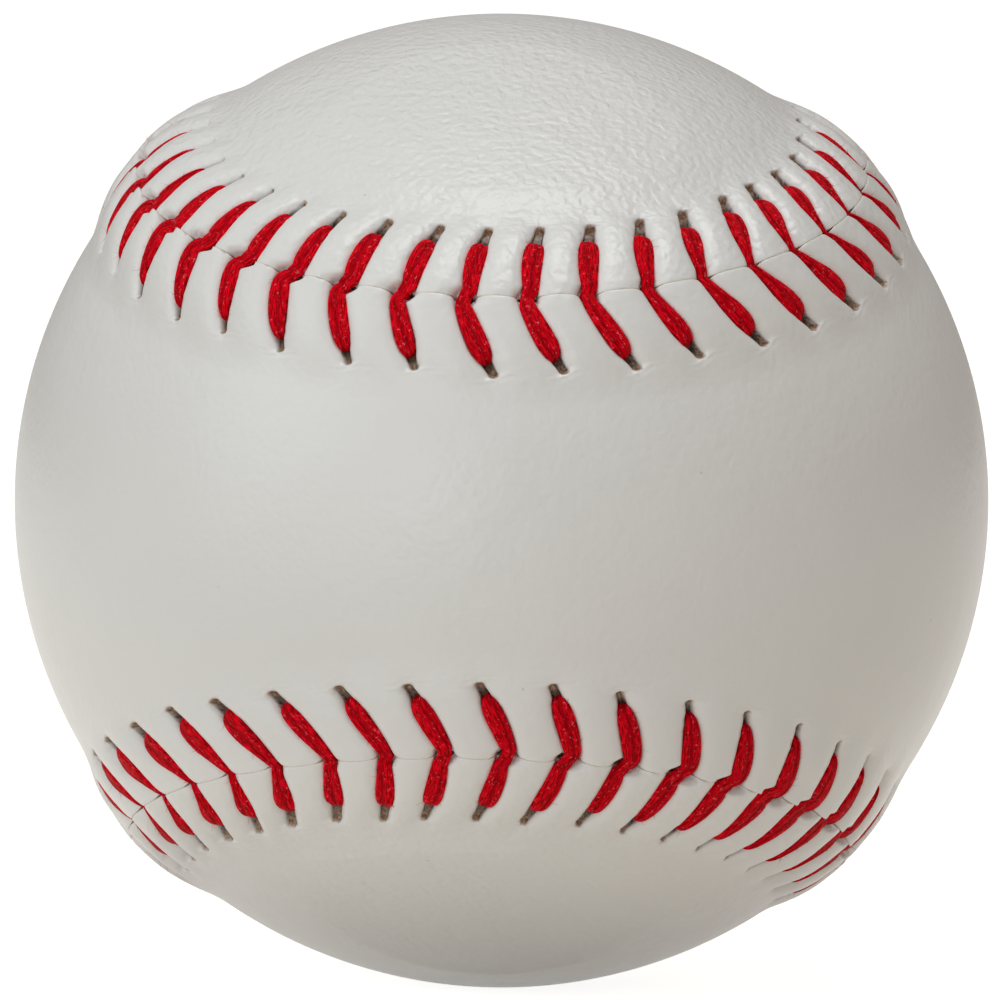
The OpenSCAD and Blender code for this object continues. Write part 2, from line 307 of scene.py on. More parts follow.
def leather_height(side, sigma, row):
    """The leather's height over the ball, whether it lies in a hole, coloured as fibre with painted
    shade, and how far that painted shade has faded towards the hole's end.
    """
    u = (sigma + FIRST_STITCH_SHARE) * PITCH
    near = np.round(sigma).astype(int) % STITCHES
    # The holes' ends are square to the legs, which lean
    lean = (between(LEANS[side], sigma) + side * between(CROSS_STEP, sigma)) / HOLE_ROW
    x = np.clip((sigma - np.round(sigma)) * PITCH_MM, -SQUARE_REACH, SQUARE_REACH)
    stand_off = STAND_OFF[side][near] + x * lean / (1 + lean ** 2)
    row_s = row - stand_off * smooth(row, *STAND_OFF_ROWS)
    end = HOLE_END[side]
    to_leg = from_thread(side, sigma, row)
    half = PITCH_MM / 2
    width = np.interp(row_s, WIDE_ROWS + [end + tip for tip in TIP_ROWS], WIDE_AT + TIP_WIDE)
    width = width * WIDTH_JITTER[side][near] * closing(u, row)
    width = width * (1 + (HOLE_WIDE[side] - 1) * smooth(row, *HOLE_WIDE_ROWS))
    depth = profile(row_s, DEEP_ROWS + [end + tail for tail in TAIL_ROWS], DEEP_AT + TAIL_AT)
    x = np.clip((to_leg - width) / (half - width), 0, 1)
    pillow = (1 - (1 - x) ** PILLOW_POWER) ** (1 / PILLOW_POWER)
    fade = smooth(row_s, end + SLOPE_AT_END[0], end + SLOPE_AT_END[1])
    s = (1 - fade) * pillow + fade * smooth(x, 0, 1)
    started = smooth(row_s, HOLE_START, HOLE_START + HOLE_START_SOFT)
    ended = smooth(row_s, end + HOLE_END_SOFT[0], end + HOLE_END_SOFT[1])
    # The hole's colour mask: fibre darkened by painted shade, reaching a little past the groove's
    # flank
    hole_fibre_and_shade = started * (1 - ended) * (1 - smooth(to_leg, width, width + HOLE_RIM))
    puff = (PUFF[side] + PUFF_BY_PULL * np.abs(pull(u))) * (1 - smooth(row, *PUFF_ROWS))
    height = rise(u) * (ridge_at(row) + puff * s) - depth * (1 - s)
    return height, hole_fibre_and_shade, smooth(row_s, HOLE_SHADE_FADE_ROW, end)


def edge_row(side, sigma):
    """Where the cut edge lies beside the seam: the fingers' ends are round at their corners."""
    to_corner = 1 - np.clip(from_thread(side, sigma, 0.0) / CORNER_LONG, 0, 1)
    return EDGE_GAP + CORNER_BACK * (1 - np.sqrt(1 - to_corner ** 2 * CORNER_SQUARE))


# The mesh's columns: from a leg's middle to here in wide steps, over the groove's flank in small
# ones, and then a number of columns on the finger
LEG_MIDDLE, FLANK_END = 0.3, 1.05
MIDDLE_STEP, FLANK_STEP, FINGER_COLUMNS = 0.15, 0.055, 8
# The mesh's rows from the outside in: from row, to row, step. They are closest round the holes
ROW_BANDS = [(OUTER_ROW, 6.4, -0.35), (6.4, 4.4, -0.08), (4.4, 0.7, -0.2)]
INNER_BAND_ROWS, LIP_ROWS = 3, 8


def column_places():
    """Stitch numbers of the mesh's columns."""
    half = np.concatenate([
        np.arange(0, LEG_MIDDLE, MIDDLE_STEP),
        np.arange(LEG_MIDDLE, FLANK_END, FLANK_STEP),
        np.linspace(FLANK_END, PITCH_MM / 2, FINGER_COLUMNS),
    ]) / PITCH_MM
    one = np.concatenate([half, 1 - half[1:-1][::-1]])
    return (np.arange(STITCHES)[:, None] + one[None, :]).ravel()


def row_places():
    """Distances of the mesh's rows from the cut edge, from the outside in."""
    return np.concatenate([
        *(np.arange(*band) for band in ROW_BANDS),
        np.linspace(ROW_BANDS[-1][1], LIP_R, INNER_BAND_ROWS, endpoint=False),
        LIP_R * (1 - np.sin(np.linspace(0, math.pi / 2, LIP_ROWS))),
    ])


# Meshes

def mesh_object(name, points, faces_by_size, smooth_faces=True):
    """A mesh object from points in millimetres and arrays of faces, one array per face size."""
    mesh = bpy.data.meshes.new(name)
    points = np.asarray(points, dtype=np.float64) * MM
    loops = np.concatenate([f.ravel() for f in faces_by_size]).astype(np.int32)
    sizes = np.concatenate([np.full(len(f), f.shape[1]) for f in faces_by_size]).astype(np.int32)
    starts = np.concatenate([[0], np.cumsum(sizes)[:-1]]).astype(np.int32)
    mesh.vertices.add(len(points))
    mesh.vertices.foreach_set("co", points.astype(np.float32).ravel())
    mesh.loops.add(len(loops))
    mesh.loops.foreach_set("vertex_index", loops)
    mesh.polygons.add(len(sizes))
    mesh.polygons.foreach_set("loop_start", starts)
    mesh.polygons.foreach_set("loop_total", sizes)
    mesh.polygons.foreach_set("use_smooth", np.full(len(sizes), smooth_faces))
    mesh.update(calc_edges=True)
    mesh.validate()
    obj = bpy.data.objects.new(name, mesh)
    bpy.context.scene.collection.objects.link(obj)
    return obj


def point_values(obj, name, values):
    """Keeps a number for every point of a mesh, which its material can read."""
    obj.data.attributes.new(name, "FLOAT", "POINT").data.foreach_set(
        "value", np.asarray(values, dtype=np.float32)
    )


def ring_faces(rings, sides, start=0):
    """Quads between closed rings of points, the first of which is point number start."""
    r, c = np.meshgrid(np.arange(rings - 1), np.arange(sides), indexing="ij")
    right = (c + 1) % sides
    this, below = r * sides, (r + 1) * sides
    return start + np.stack([this + c, this + right, below + right, below + c], -1).reshape(-1, 4)


# The panels

SEAM_SAMPLES = 1600
# The field's points lie this far apart and keep this far from the outer row
FIELD_STEP = 0.75
FIELD_GAP = 0.45
# The points' reach from the panel's middle to either side, in radians (and up and down, that
# times half the root of three), and the angles from it that are kept. This is short of the
# lobes' ends, which lie at 2.4 radians: there long triangles lie up to 1 mm under the ball
FIELD_REACH = 2.2
FIELD_ANGLES = (1e-6, 2.15)
# Shorter than any length that matters
TINY = 1e-9


def seam_distance(points):
    """Distance of unit points from the seam in millimetres, positive towards the front panel."""
    u = np.linspace(0, SEAM_LEN, SEAM_SAMPLES, endpoint=False)
    p, _, n = seam_frame(u)
    nearest = np.argmax(points @ p.T, axis=1)
    return np.arcsin(np.clip(np.sum(points * n[nearest], axis=1), -1, 1)) * BALL_R


def panel_field(side, rim):
    """Fills a panel inside its outer row with triangles whose corners lie on the bare ball."""
    middle = np.array([0, -side, 0.0])
    across, up = np.array([1.0, 0, 0]), np.array([0, 0, 1.0])

    def flatten(points):
        way = points / np.linalg.norm(points, axis=1)[:, None]
        angle = np.arccos(np.clip(way @ middle, -1, 1))
        flat = np.stack([way @ across, way @ up], 1)
        return flat / np.maximum(np.linalg.norm(flat, axis=1), TINY)[:, None] * angle[:, None]

    # Points in rows of even triangles, laid out flat and then bent round the ball
    step = FIELD_STEP / BALL_R
    reach = np.arange(-FIELD_REACH, FIELD_REACH, step)
    gx, gy = np.meshgrid(reach, reach * math.sqrt(3) / 2)
    gx = gx + (np.arange(len(reach)) % 2)[:, None] * step / 2
    grid = np.stack([gx.ravel(), gy.ravel()], 1)
    angle = np.linalg.norm(grid, axis=1)
    grid = grid[(angle < FIELD_ANGLES[1]) & (angle > FIELD_ANGLES[0])]
    angle = np.linalg.norm(grid, axis=1)[:, None]
    aside = grid[:, :1] * across + grid[:, 1:] * up
    ball = np.cos(angle) * middle + np.sin(angle) / angle * aside
    keep = side * seam_distance(ball) > OUTER_ROW + FIELD_GAP
    grid, ball = grid[keep], ball[keep]

    flat = np.concatenate([flatten(rim), grid])
    count = len(rim)
    edges = [(i, (i + 1) % count) for i in range(count)]
    # 1 asks for the triangles inside the rim only
    verts, _, faces, origin, _, _ = delaunay_2d_cdt([Vector(v) for v in flat], edges, [], 1, TINY)
    if len(verts) != len(flat):
        raise ValueError("the panel's field gained points")
    back = np.array([o[0] for o in origin])
    faces = back[np.array(faces)]
    a, b, c = (flat[faces[:, i]] for i in range(3))
    turn = (b[:, 0] - a[:, 0]) * (c[:, 1] - a[:, 1]) - (b[:, 1] - a[:, 1]) * (c[:, 0] - a[:, 0])
    faces[turn < 0] = faces[turn < 0][:, ::-1]
    if side == BACK:
        faces = faces[:, ::-1]
    return ball * BALL_R, faces


def leather_panel(name, side):
    """One cover panel: a band along the seam with its puckers, holes and edge, and its field."""
    columns, rows = column_places(), row_places()
    sigma = np.repeat(columns[None, :], len(rows), 0)
    edge = edge_row(side, sigma)
    row = edge + (OUTER_ROW - edge) * (rows / OUTER_ROW)[:, None]
    height, hole_fibre_and_shade, hole_shade_fade = leather_height(side, sigma, row)
    if side == FRONT:
        height = height + FRONT_OVER * (1 - smooth(row, 0.0, FRONT_OVER_ROW))
    from_edge = np.clip(rows, 0, LIP_R)[:, None]
    lip = LIP_DROP * (1 - np.sqrt(np.maximum(1 - (1 - from_edge / LIP_R) ** 2, 0)))
    points = [place(side, sigma, row, height - lip)]
    for down in CUT_DOWN:
        points.append(place(side, sigma[-1:], row[-1:], height[-1:] - LIP_DROP - down))
    points = np.concatenate(points)
    n_rows, n_columns = points.shape[:2]
    quads = ring_faces(n_rows, n_columns)
    if side == FRONT:
        quads = quads[:, ::-1]

    # The field's first points are the band's outer row, and the rest come after the band's points
    field, field_faces = panel_field(side, points[0])
    is_rim = field_faces < n_columns
    field_faces = np.where(is_rim, field_faces, field_faces - n_columns + n_rows * n_columns)
    obj = mesh_object(name, np.concatenate([points.reshape(-1, 3), field]), [quads, field_faces])

    # Masks for the holes' fibre and painted shade, for how far that shade has faded, and for the cut
    # edge
    hole, end, cut = (np.zeros((n_rows, n_columns)) for _ in range(3))
    hole[: len(rows)], end[: len(rows)] = hole_fibre_and_shade, hole_shade_fade
    cut[len(rows):] = 1
    cut[len(rows) - LIP_CUT_ROWS : len(rows)] = LIP_CUT_SHARE
    for value_name, values in (("hole_fibre_and_shade", hole), ("hole_shade_fade", end), ("cut_edge", cut)):
        point_values(obj, value_name, np.concatenate([values.ravel(), np.zeros(len(field))]))
    return obj


# The lacing

# A leg from the needle hole to the crossing, at even steps along it: its distance from the seam,
# its height over the leather, and half its width and thickness
LEG_ROWS = [4.45, 4.42, 4.3, 3.9, 3.1, 2.1, 1.1, 0.3, -0.15, -0.35]
LEG_HEIGHTS = [-1.35, -0.85, -0.48, -0.3, -0.25, -0.25, -0.26, -0.34, -0.6, -1.3]
LEG_HALF_WIDTHS = [0.36, 0.44, 0.56, 0.7, 0.76, 0.72, 0.62, 0.52, 0.45, 0.34]
LEG_HALF_HEIGHTS = [0.24, 0.27, 0.3, 0.32, 0.33, 0.32, 0.3, 0.27, 0.24, 0.22]
LEG_RINGS = 40
# At the seam the two legs of a stitch turn towards each other, by this share of their distance
TURN_IN = 1.1
TURN_IN_ROWS = (-0.2, 0.8)
# A leg's section is a flat oval, squarer than an ellipse by these powers
OVAL_WIDE, OVAL_HIGH = 0.8, 0.75
# It is a bundle of filaments: ribs round it, which twist along it by a turn in radians, start
# anywhere and change their size in a few places along the leg
RIBS = 13
SIDES_PER_RIB = 4
TWIST = (0.15, 0.5)
RIB_START = (0, 3)
RIB_SIZE = (0.03, 0.11)
RIB_SIZES = LEG_RINGS // 8 + 2
# The two plies part in a valley with painted shade: how far it strays to the side and along the
#  leg, its width in radians and its depth
VALLEY_STRAY, VALLEY_WANDER = 0.25, 0.35
VALLEY_WIDE = 0.2
VALLEY_DEEP = 0.22
# The thread's streaks differ from leg to leg, from its upper to its under side, and on the hairs
LEG_APART = 11.0
UNDER_APART = 3.0
HAIR_APART = 9.0
# Loose hairs on each leg: number, mesh and radius. A hair is as thick as half a sine wave is
# high, which it follows from the first of the last two shares on, over the second
FUZZ_PER_LEG = 7
FUZZ_RINGS = 6
FUZZ_SIDES = 4
FUZZ_R = 0.014
FUZZ_END, FUZZ_BODY = 0.04, 0.92
# On which rings and where round the leg a hair starts, how deep, and its length and bend
FUZZ_ON_RINGS = (LEG_RINGS // 4, LEG_RINGS * 4 // 5)
FUZZ_ROUND = (0.05, 0.95)
FUZZ_ROOT = 0.9
FUZZ_LENGTH = (0.25, 0.75)
FUZZ_BEND = (0.2, 0.9)
# How steeply a hair leaves the leg, and how far its bend draws it back
FUZZ_STEEP = 0.35
FUZZ_BACK = 0.5


def spline(values, places):
    """A smooth curve through values at whole numbers, read at places."""
    values = np.asarray(values, float)
    padded = np.concatenate([[2 * values[0] - values[1]], values, [2 * values[-1] - values[-2]]])
    i = np.clip(places.astype(int), 0, len(values) - 2)
    t = places - i
    a, b, c, d = (padded[i + j] for j in range(4))
    square, cube = 2 * a - 5 * b + 4 * c - d, 3 * b - a - 3 * c + d
    return 0.5 * (2 * b + (c - a) * t + square * t ** 2 + cube * t ** 3)


def unit(v):
    """Vectors at length one."""
    return v / np.linalg.norm(v, axis=-1, keepdims=True)


def leg_path(side, i, places):
    """Centre line, its two cross axes and its half sizes, for one leg of stitch i."""
    row = spline(LEG_ROWS, places)
    row = row + STAND_OFF[side][i] * smooth(row, *STAND_OFF_ROWS)
    u = (i + FIRST_STITCH_SHARE) * PITCH
    height = rise(u) * ridge_at(row) + spline(LEG_HEIGHTS, places) + SINK_JITTER[side][i]
    turn = -TURN_IN * side * CROSS_STEP[i] * (1 - smooth(row, *TURN_IN_ROWS))
    centre = place(side, np.full(len(places), float(i)), row, height, turn)
    along = unit(np.gradient(centre, axis=0))
    out = unit(centre)
    wide = unit(np.cross(along, out))
    width = spline(LEG_HALF_WIDTHS, places) * WIDTH_JITTER[side][i] * closing(u, row)
    return centre, wide, unit(np.cross(wide, along)), width, spline(LEG_HALF_HEIGHTS, places)


def fuzz(draw, centre, wide, high, half_w, half_h, start):
    """Loose fibres that stand off one leg: thin curved hairs, almost pointed at both ends."""
    points, faces = [], []
    t = np.linspace(0, 1, FUZZ_RINGS)[:, None]
    thick = FUZZ_R * np.sin(math.pi * (FUZZ_END + FUZZ_BODY * t))
    turn = np.linspace(0, 2 * math.pi, FUZZ_SIDES, endpoint=False)
    for _ in range(FUZZ_PER_LEG):
        k = draw.integers(*FUZZ_ON_RINGS)
        round_at = draw.uniform(*FUZZ_ROUND) * math.pi
        cos, sin = math.cos(round_at), math.sin(round_at)
        out = cos * wide[k] + sin * high[k]
        root = centre[k] + FUZZ_ROOT * (cos * half_w[k] * wide[k] + sin * half_h[k] * high[k])
        along = draw.choice([-1, 1]) * np.cross(wide[k], high[k])
        length = draw.uniform(*FUZZ_LENGTH)
        bend = draw.uniform(*FUZZ_BEND)
        leaves, bends = FUZZ_STEEP * out + along, out - FUZZ_BACK * along
        path = root + length * (t * leaves + bend * t ** 2 * bends)
        across = unit(np.cross(out, along))
        up = unit(np.cross(across, along))
        ring = np.cos(turn)[None, :, None] * across + np.sin(turn)[None, :, None] * up
        points.append((path[:, None, :] + thick[:, :, None] * ring).reshape(-1, 3))
        faces.append(ring_faces(FUZZ_RINGS, FUZZ_SIDES, start))
        start += FUZZ_RINGS * FUZZ_SIDES
    return np.concatenate(points), np.concatenate(faces)


def lacing(name, first_side):
    """One needle's thread: every leg that it sews, each a flat bundle of filaments."""
    points, faces, runs, rounds, valley_shades, count = [], [], [], [], [], 0
    places = np.linspace(0, len(LEG_ROWS) - 1, LEG_RINGS)
    sides = RIBS * SIDES_PER_RIB
    around = np.linspace(0, 2 * math.pi, sides, endpoint=False)
    cos, sin = np.cos(around), np.sin(around)
    flat_x = np.sign(cos) * np.abs(cos) ** OVAL_WIDE
    flat_y = np.sign(sin) * np.abs(sin) ** OVAL_HIGH
    for i in range(STITCHES):
        side = first_side if i % 2 == 0 else -first_side
        draw = np.random.default_rng([SEED, i, side + 1])
        centre, wide, high, half_w, half_h = leg_path(side, i, places)

        valley = math.pi / 2 + draw.normal(0, VALLEY_STRAY)
        valley = valley + np.linspace(-1, 1, LEG_RINGS) * draw.normal(0, VALLEY_WANDER)
        in_valley = np.exp(-(((around[None, :] - valley[:, None]) / VALLEY_WIDE) ** 2))
        twist = np.linspace(0, draw.uniform(*TWIST), LEG_RINGS)[:, None] * draw.choice([-1, 1])
        rib_turn = RIBS * (around[None, :] + twist) / 2 + draw.uniform(*RIB_START)
        rib_size = draw.uniform(*RIB_SIZE, (RIB_SIZES, sides))
        size_places = np.linspace(0, places[-1], RIB_SIZES)
        rib_size = np.stack([np.interp(places, size_places, column) for column in rib_size.T], 1)
        shape = 1 - VALLEY_DEEP * in_valley - rib_size * (1 - np.abs(np.sin(rib_turn)))
        rings = (
            centre[:, None, :]
            + (half_w[:, None] * flat_x * shape)[..., None] * wide[:, None, :]
            + (half_h[:, None] * flat_y * shape)[..., None] * high[:, None, :]
        )
        points.append(rings.reshape(-1, 3))
        faces.append(ring_faces(LEG_RINGS, sides, count))
        run = np.concatenate([[0], np.cumsum(np.linalg.norm(np.diff(centre, axis=0), axis=1))])
        runs.append(np.repeat(run[:, None] + LEG_APART * i, sides, 1).ravel())
        rounds.append(((flat_x * half_w[:, None]) + UNDER_APART * (sin < 0)).ravel())
        # Where the valley's painted shade lies
        valley_shades.append(in_valley.ravel())
        count += LEG_RINGS * sides

        hairs, hair_faces = fuzz(draw, centre, wide, high, half_w, half_h, count)
        points.append(hairs)
        faces.append(hair_faces)
        runs.append(np.full(len(hairs), LEG_APART * i))
        rounds.append(np.full(len(hairs), HAIR_APART))
        valley_shades.append(np.zeros(len(hairs)))
        count += len(hairs)
    obj = mesh_object(name, np.concatenate(points), [np.concatenate(faces)])
    for value_name, values in (("run", runs), ("round", rounds), ("valley", valley_shades)):
        point_values(obj, value_name, np.concatenate(values))
    return obj


# Materials

# Colours are linear red, green and blue. Scales count a texture's lumps on a metre, and depths
# are in metres. A plain colour is what a viewer without the material's nodes shows.
LEATHER_PLAIN = (0.78, 0.77, 0.74)
LEATHER_ROUGHNESS = 0.38
LEATHER_TINTS = (0.795, 0.795, 0.778), (0.75, 0.745, 0.725)
TINT_SCALE = 60.0
LUMP_SCALE = 330.0
GRAIN_SCALE = 1750.0
GRAIN_DEPTH = {FRONT: 0.0001, BACK: 0.00016}
# The hide is coarser towards the top: from and to which height, and the grain's shares there
COARSE_HEIGHTS = (0.014, 0.032)
COARSE_SHARES = (0.4, 1.0)
# Pores as dark dots: their middles' and rims' distance, and how dark the middles are
PORE_SCALE = 190.0
PORE_REACH = (0.012, 0.03)
PORE_SHARE = 0.35
PORE_COLOR = (0.42, 0.36, 0.30)
CUT_COLOR = (0.80, 0.74, 0.62)
# Fibres in the needle holes, darkened by painted shade: hollow and fibre near the thread, where the
#  painted shade is deepest, and at the hole's far end, where it is lighter
FIBRE_SCALE = 4200.0
FIBRE_RAMP = (0.38, 0.66)
HOLE_SHADE_NEAR = (0.012, 0.003, 0.0), (0.12, 0.055, 0.022)
HOLE_FAR_FIBRE_AND_SHADE = (0.2, 0.11, 0.06), (0.5, 0.36, 0.24)

THREAD_PLAIN = (0.6, 0.0, 0.012)
THREAD_ROUGHNESS = 0.5
THREAD_SPECULAR = 0.03
# Filaments as streaks: their count on a millimetre along the thread and across it, and colours
STREAKS_ALONG, STREAKS_ACROSS = 1.5, 9.0
STREAK_DEPTH = 0.00012
STREAK_RAMP = (0.38, 0.62)
STREAK_COLORS = (0.3, 0.0, 0.001), (0.92, 0.002, 0.016)
# Painted highlights: light specks where fibre ends catch the light
HIGHLIGHT_SPECK_SCALE = 4300.0
HIGHLIGHT_SPECK_RAMP = (0.62, 0.8)
HIGHLIGHT_SPECK_COLOR = (0.93, 0.2, 0.24)
# Painted shade in the valley between the plies, and how much of it is laid
VALLEY_SHADE_COLOR = (0.2, 0.0, 0.004)
VALLEY_SHADE_SHARE = 0.6

# Inside, the dark parts of a stuff's grain have this share of its colour
DARKER = 0.62


def material(name, color, roughness, specular=0.5):
    """A material with its Principled shader."""
    mat = bpy.data.materials.new(name)
    mat.use_nodes = True
    shader = mat.node_tree.nodes["Principled BSDF"]
    shader.inputs["Base Color"].default_value = (*color, 1)
    shader.inputs["Roughness"].default_value = roughness
    shader.inputs["Specular IOR Level"].default_value = specular
    return mat


def node(mat, kind, links=(), **values):
    """Adds a node. links are (input, from node, output); values set its properties or inputs."""
    added = mat.node_tree.nodes.new(kind)
    for key, value in values.items():
        if hasattr(added, key):
            setattr(added, key, value)
        else:
            added.inputs[key.replace("_", " ").title()].default_value = value
    for socket, source, output in links:
        mat.node_tree.links.new(source.outputs[output], added.inputs[socket])
    return added


def math_of(mat, operation, first, second):
    """A Math node's result for a (node, output) pair and another pair or a plain number."""
    added = node(mat, "ShaderNodeMath", [(0, *first)], operation=operation)
    if isinstance(second, tuple):
        mat.node_tree.links.new(second[0].outputs[second[1]], added.inputs[1])
    else:
        added.inputs[1].default_value = second
    return added, 0


def value_of(mat, name):
    """Reads a number kept on the mesh's points."""
    return node(mat, "ShaderNodeAttribute", attribute_name=name), "Fac"


def noise(mat, coords, **values):
    """Noise at a (node, output) pair of coordinates."""
    return node(mat, "ShaderNodeTexNoise", [("Vector", *coords)], **values), "Fac"


def ranged(mat, source, limits, shares=(0.0, 1.0)):
    """Turns the limits of a (node, output) pair into the shares, and what lies between in step."""
    mapped = node(mat, "ShaderNodeMapRange", [("Value", *source)], from_min=limits[0],
                  from_max=limits[1], to_min=shares[0], to_max=shares[1])
    return mapped, 0


def mixed(mat, factor, a, b):
    """Mixes colours. The factor is a (node, output) pair; each colour may be one or plain."""
    mix = node(mat, "ShaderNodeMix", [("Factor", *factor)], data_type="RGBA")
    # A colour mix has its two colours at inputs 6 and 7, and its result at output 2
    for socket, value in ((6, a), (7, b)):
        if isinstance(value[0], bpy.types.Node):
            mat.node_tree.links.new(value[0].outputs[value[1]], mix.inputs[socket])
        else:
            mix.inputs[socket].default_value = (*value, 1)
    return mix, 2


def finish(mat, tint, height, depth):
    """Gives the shader its colour and its bumps, each from a (node, output) pair."""
    shader = mat.node_tree.nodes["Principled BSDF"]
    bump = node(mat, "ShaderNodeBump", [("Height", *height)], strength=1.0, distance=depth)
    mat.node_tree.links.new(bump.outputs["Normal"], shader.inputs["Normal"])
    mat.node_tree.links.new(tint[0].outputs[tint[1]], shader.inputs["Base Color"])
    return mat


def leather_material(name, grain_depth):
    """White grained hide, with a raw cut edge, and fibres in its needle holes darkened by painted
    shade that is deepest next to the thread.
    """
    mat = material(name, LEATHER_PLAIN, LEATHER_ROUGHNESS)
    coords = (node(mat, "ShaderNodeTexCoord"), "Object")
    grain = noise(mat, coords, scale=GRAIN_SCALE, detail=0.5, distortion=0.3)
    lumps = noise(mat, coords, scale=LUMP_SCALE, detail=2.0)
    split = node(mat, "ShaderNodeSeparateXYZ", [("Vector", *coords)])
    coarse = ranged(mat, (split, "Z"), COARSE_HEIGHTS, COARSE_SHARES)
    height = math_of(mat, "ADD", lumps, math_of(mat, "MULTIPLY", grain, coarse))

    tint = mixed(mat, noise(mat, coords, scale=TINT_SCALE, detail=3.0), *LEATHER_TINTS)
    pores = node(mat, "ShaderNodeTexVoronoi", [("Vector", *coords)], scale=PORE_SCALE)
    pore = ranged(mat, (pores, "Distance"), PORE_REACH, (PORE_SHARE, 0.0))
    tint = mixed(mat, pore, tint, PORE_COLOR)
    tint = mixed(mat, value_of(mat, "cut_edge"), tint, CUT_COLOR)
    fibres = ranged(mat, noise(mat, coords, scale=FIBRE_SCALE, detail=2.0), FIBRE_RAMP)
    # The holes' fibres with painted shade: darkest near the thread, lighter towards the hole's far
    # end
    near, far = mixed(mat, fibres, *HOLE_SHADE_NEAR), mixed(mat, fibres, *HOLE_FAR_FIBRE_AND_SHADE)
    hole = mixed(mat, value_of(mat, "hole_shade_fade"), near, far)
    tint = mixed(mat, value_of(mat, "hole_fibre_and_shade"), tint, hole)
    return finish(mat, tint, height, grain_depth)


def thread_material():
    """Red filaments, streaky along the thread, with painted highlights as light specks and painted
    shade in its valley.
    """
    mat = material("red_thread", THREAD_PLAIN, THREAD_ROUGHNESS, THREAD_SPECULAR)
    along = math_of(mat, "MULTIPLY", value_of(mat, "run"), STREAKS_ALONG)
    across = math_of(mat, "MULTIPLY", value_of(mat, "round"), STREAKS_ACROSS)
    where = node(mat, "ShaderNodeCombineXYZ", [("X", *along), ("Y", *across)])
    streaks = noise(mat, (where, 0), scale=1.0, detail=4.0)
    coords = (node(mat, "ShaderNodeTexCoord"), "Object")
    # Painted highlights as light specks on the fibres
    highlight_specks = noise(mat, coords, scale=HIGHLIGHT_SPECK_SCALE, detail=2.0, distortion=0.5)
    tint = mixed(mat, ranged(mat, streaks, STREAK_RAMP), *STREAK_COLORS)
    tint = mixed(mat, ranged(mat, highlight_specks, HIGHLIGHT_SPECK_RAMP), tint, HIGHLIGHT_SPECK_COLOR)
    # Painted shade in the valley between the plies
    valley = math_of(mat, "MULTIPLY", value_of(mat, "valley"), VALLEY_SHADE_SHARE)
    tint = mixed(mat, valley, tint, VALLEY_SHADE_COLOR)
    return finish(mat, tint, streaks, STREAK_DEPTH)


def solid_material(name, color, roughness, scale, depth):
    """A plain stuff for the layers inside, with a grain of its own."""
    mat = material(name, color, roughness)
    coords = (node(mat, "ShaderNodeTexCoord"), "Object")
    grain = noise(mat, coords, scale=scale, detail=4.0)
    darker = tuple(DARKER * c for c in color)
    return finish(mat, mixed(mat, grain, darker, color), grain, depth)


THREAD = thread_material()
LEATHERS = {
    FRONT: leather_material("waist_leather", GRAIN_DEPTH[FRONT]),
    BACK: leather_material("lobe_leather", GRAIN_DEPTH[BACK]),
}

# The pieces

for name, node_name, side in (
    ("leather_panel_front", "cover_panel_front", FRONT),
    ("leather_panel_back", "cover_panel_back", BACK),
):
    panel = leather_panel(name, side)
    panel.data.materials.append(LEATHERS[side])
    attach(panel, "root")
    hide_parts(node_name)

for name, node_name, side in (
    ("red_lacing_1", "lacing_thread_1", FRONT),
    ("red_lacing_2", "lacing_thread_2", BACK),
):
    thread = lacing(name, side)
    thread.data.materials.append(THREAD)
    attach(thread, "root")
    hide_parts(node_name)

# Colour, roughness, and the grain's scale and depth of each stuff inside
STUFFS = {
    "cork": ((0.52, 0.36, 0.22), 0.9, 900.0, 0.0003),
    "black_rubber": ((0.035, 0.035, 0.037), 0.65, 2500.0, 0.00004),
    "red_rubber": ((0.36, 0.04, 0.035), 0.55, 2500.0, 0.00004),
    "grey_wool": ((0.36, 0.35, 0.34), 0.95, 1400.0, 0.0004),
    "white_wool": ((0.78, 0.77, 0.72), 0.95, 1400.0, 0.0004),
    "cotton": ((0.80, 0.77, 0.69), 0.9, 2600.0, 0.0002),
}
INNER = {stuff: solid_material(stuff, *values) for stuff, values in STUFFS.items()}
for node_name, stuff in (
    ("cork_core", "cork"),
    ("inner_rubber_upper", "black_rubber"),
    ("inner_rubber_lower", "black_rubber"),
    ("rubber_washer", "red_rubber"),
    ("outer_rubber", "red_rubber"),
    ("wool_winding_1", "grey_wool"),
    ("wool_winding_2", "white_wool"),
    ("wool_winding_3", "grey_wool"),
    ("cotton_winding", "cotton"),
):
    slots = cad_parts[node_name].data.materials
    slots.clear()
    slots.append(INNER[stuff])

# The room: lamps' places and sizes and the floor's size in metres

FLOOR_SIZE = 60.0
FLOOR_COLOR = (0.8, 0.75, 0.67)
# What the floor adds to its lit colour where the camera sees it, so that it comes out white
FLOOR_GLOW = 0.87
ROOM_COLOR = (1.0, 0.88, 0.82)
ROOM_STRENGTH = 0.255


def floor_material():
    """White to the camera, with the ball's shadow kept."""
    mat = bpy.data.materials.new("floor")
    mat.use_nodes = True
    mat.node_tree.nodes.clear()
    diffuse = node(mat, "ShaderNodeBsdfDiffuse")
    diffuse.inputs["Color"].default_value = (*FLOOR_COLOR, 1)
    path = node(mat, "ShaderNodeLightPath")
    seen = math_of(mat, "MAXIMUM", (path, "Is Camera Ray"), (path, "Is Glossy Ray"))
    seen = math_of(mat, "MAXIMUM", seen, (path, "Is Transmission Ray"))
    lift = math_of(mat, "MULTIPLY", seen, FLOOR_GLOW)
    glow = node(mat, "ShaderNodeEmission", [("Strength", *lift)])
    both = node(mat, "ShaderNodeAddShader", [(0, diffuse, 0), (1, glow, 0)])
    node(mat, "ShaderNodeOutputMaterial", [("Surface", both, 0)])
    return mat


